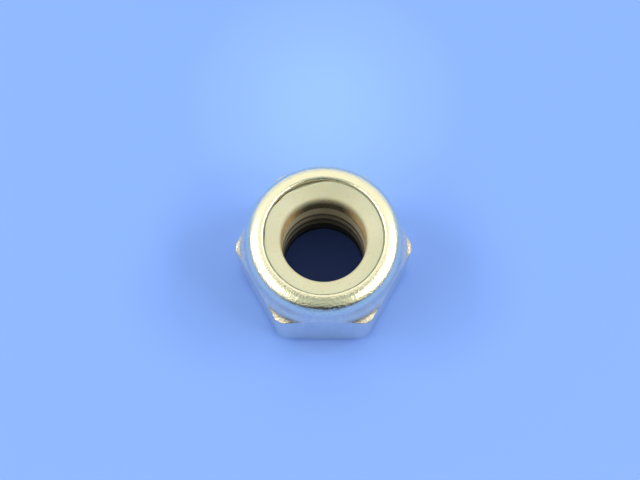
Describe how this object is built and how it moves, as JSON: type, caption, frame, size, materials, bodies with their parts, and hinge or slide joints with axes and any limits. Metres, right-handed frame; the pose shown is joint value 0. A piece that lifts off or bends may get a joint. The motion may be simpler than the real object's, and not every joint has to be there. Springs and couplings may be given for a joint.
{
  "type": "nylon insert lock nut",
  "caption": "Hexagonal lock nut with a round collar rolled inward over a nylon locking ring, chamfered corners and an internal screw thread.",
  "frame": {"origin": "centre of the bearing face, on the thread axis", "axes": "+Z along the thread axis from the bearing face to the collar; one flat of the hexagon faces -Y and two corners lie on the X axis"},
  "size_m": [0.0146, 0.013, 0.0095],
  "materials": {
    "zinc_steel": "zinc plated, satin with fine turning marks on the collar",
    "nylon": "natural cream nylon, soft sheen"
  },
  "bodies": {
    "root": {"nut_body": "zinc_steel", "nylon_insert": "nylon"}
  },
  "joints": []
}
